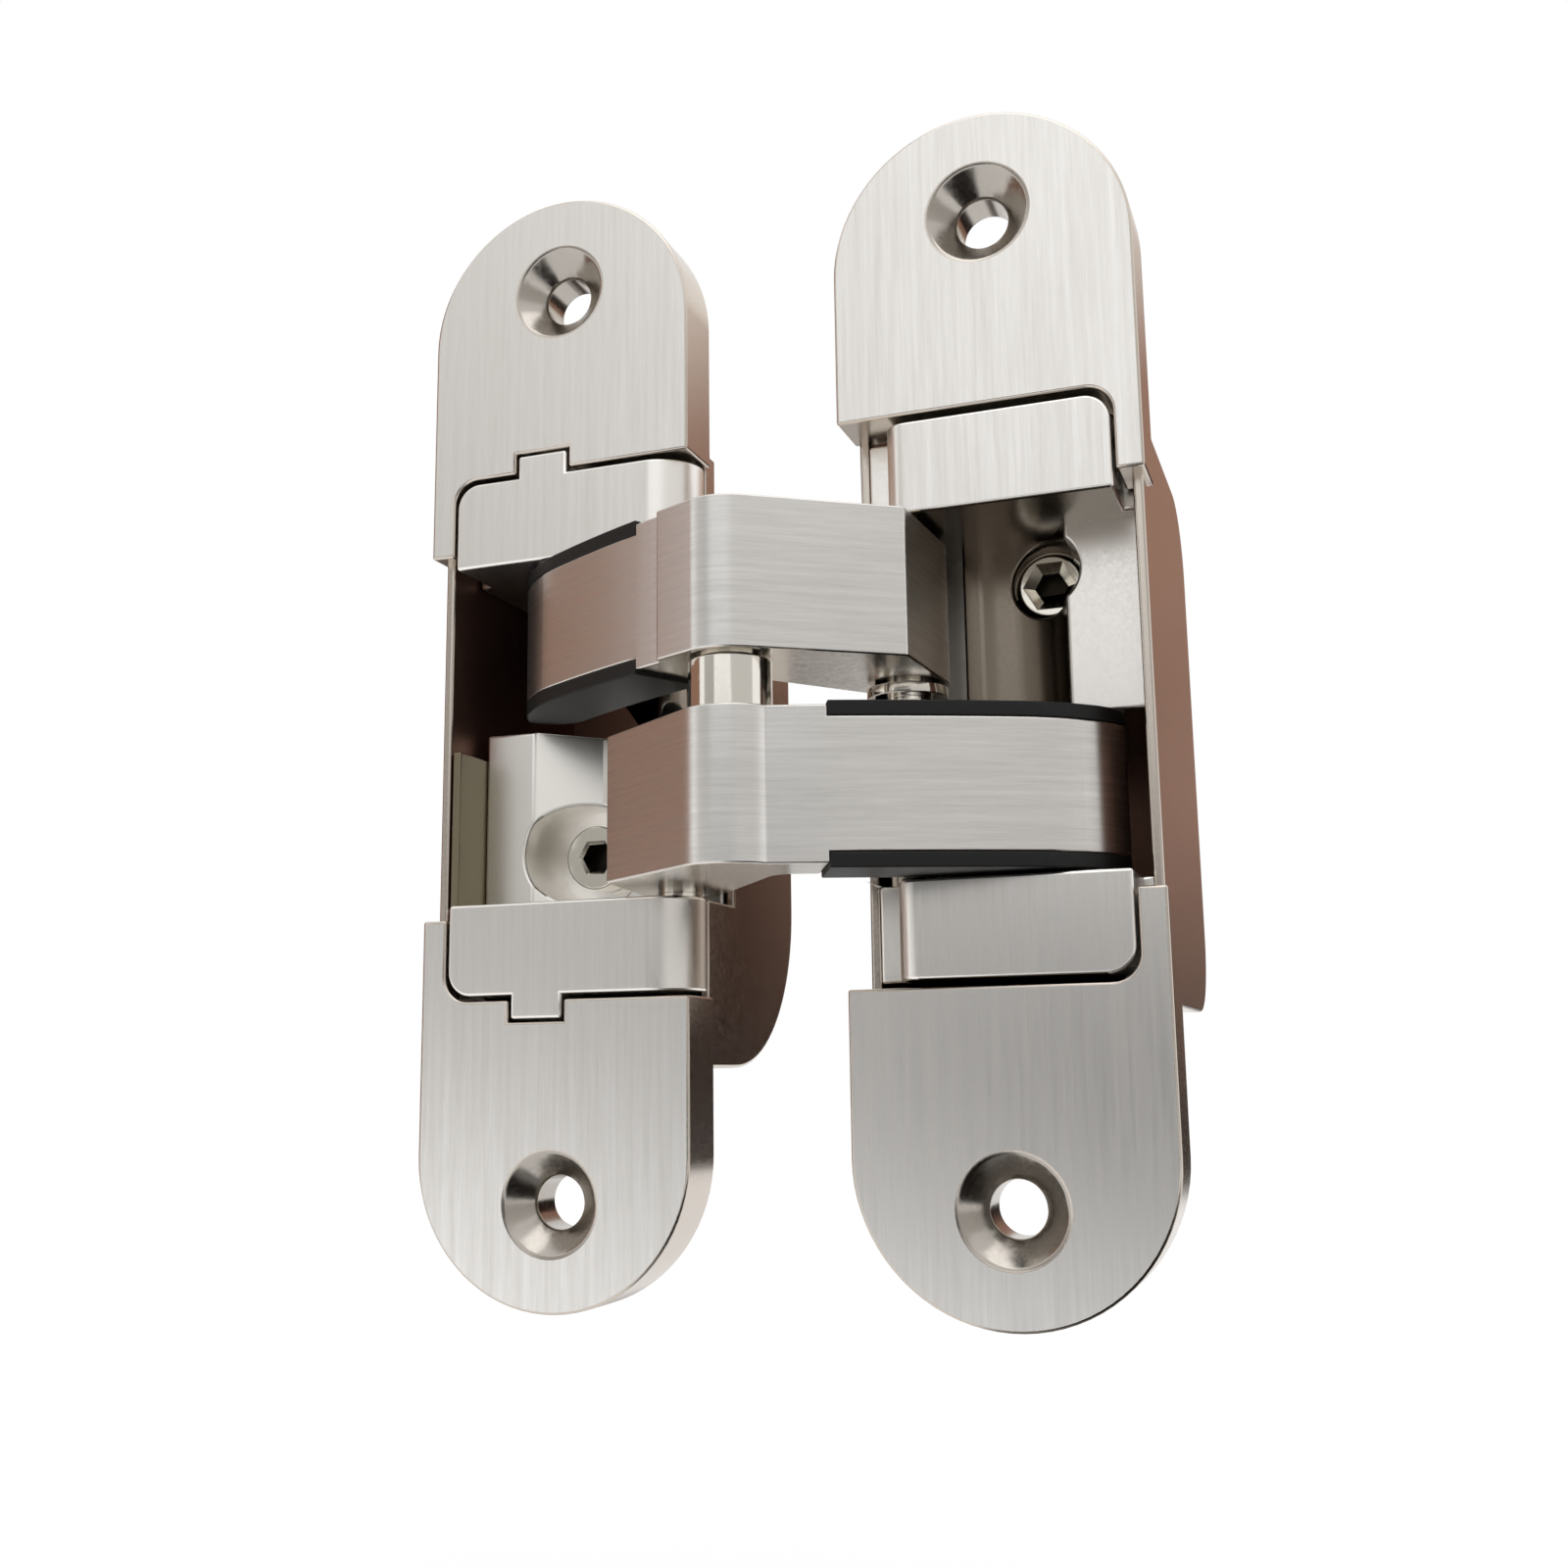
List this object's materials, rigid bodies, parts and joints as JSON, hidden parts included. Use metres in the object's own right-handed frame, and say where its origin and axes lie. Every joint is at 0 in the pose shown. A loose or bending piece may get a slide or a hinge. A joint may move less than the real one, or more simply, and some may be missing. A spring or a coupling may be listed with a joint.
{
  "type": "concealed door hinge",
  "caption": "Concealed adjustable door hinge in satin nickel: round-ended leaves with deep boxes, joined by crossed arms that pivot in one leaf and slide in the other.",
  "frame": {"origin": "centre of the left leaf's two screw holes, on the back face of its end plates, where the leaf seats on the wood", "axes": "+Z along the hinge, +Y into the wood, +X from the left leaf to the right leaf, hinge laid flat open"},
  "size_m": [0.0762, 0.0496, 0.117],
  "materials": {
    "housing": "satin nickel on die-cast zinc, brushed lengthways",
    "carrier": "satin nickel on die-cast zinc",
    "arm": "satin nickel on die-cast zinc, brushed across",
    "pin": "polished steel",
    "glide": "black nylon",
    "screw": "bright nickel-plated steel",
    "wedge": "yellow-passivated steel"
  },
  "bodies": {
    "left_leaf": {"left_housing": "housing"},
    "left_insert": {"left_carrier": "carrier", "left_pivot_pin": "pin", "left_pivot_collar": "pin", "left_wedge_plate": "wedge"},
    "left_screw": {"left_adjusting_screw": "screw"},
    "lower_link": {"lower_arm": "arm", "center_pin": "pin", "lower_arm_guide_pin": "pin", "lower_arm_inner_strip": "glide", "lower_arm_outer_strip": "glide"},
    "upper_link": {"upper_arm": "arm", "upper_arm_guide_pin": "pin", "upper_arm_inner_strip": "glide", "upper_arm_outer_strip": "glide"},
    "right_insert": {"right_carrier": "carrier", "right_pivot_pin": "pin", "right_pivot_collar": "pin"},
    "right_screw": {"right_set_screw": "screw"},
    "right_leaf": {"right_housing": "housing"}
  },
  "joints": [
    {"name": "left_insert_adjust", "type": "slide", "parent": "left_leaf", "child": "left_insert", "axis": [0, 1, 0], "range_m": [-0.0006, 0.0006]},
    {"name": "left_screw_turn", "type": "hinge", "parent": "left_insert", "child": "left_screw", "pos_m": [-0.0019, 0.0072, -0.012], "axis": [0, 1, 0], "range_deg": [-310, 310]},
    {"name": "lower_arm_swing", "type": "hinge", "parent": "left_insert", "child": "lower_link", "pos_m": [0.0107, 0.002, 0], "axis": [0, 0, -1], "range_deg": [0, 97.34]},
    {"name": "cross_swing", "type": "hinge", "parent": "lower_link", "child": "upper_link", "pos_m": [0.0231, -0.0152, 0], "axis": [0, 0, -1], "range_deg": [-15, 0]},
    {"name": "right_insert_swing", "type": "hinge", "parent": "upper_link", "child": "right_insert", "pos_m": [0.0355, 0.002, 0], "axis": [0, 0, -1], "range_deg": [0, 97.44]},
    {"name": "right_screw_turn", "type": "hinge", "parent": "right_insert", "child": "right_screw", "pos_m": [0.0493, 0.008, 0.0133], "axis": [0, 1, 0], "range_deg": [-180, 180]},
    {"name": "right_leaf_height", "type": "slide", "parent": "right_insert", "child": "right_leaf", "axis": [0, 0, 1], "range_m": [-0.0005, 0.0005]}
  ],
  "couplings": [
    {"joint": "left_screw_turn", "follows": "left_insert_adjust", "rad_per_m": 8976},
    {"joint": "cross_swing", "follows": "lower_arm_swing", "ratio": -0.15087},
    {"joint": "right_insert_swing", "follows": "lower_arm_swing", "ratio": 1}
  ]
}
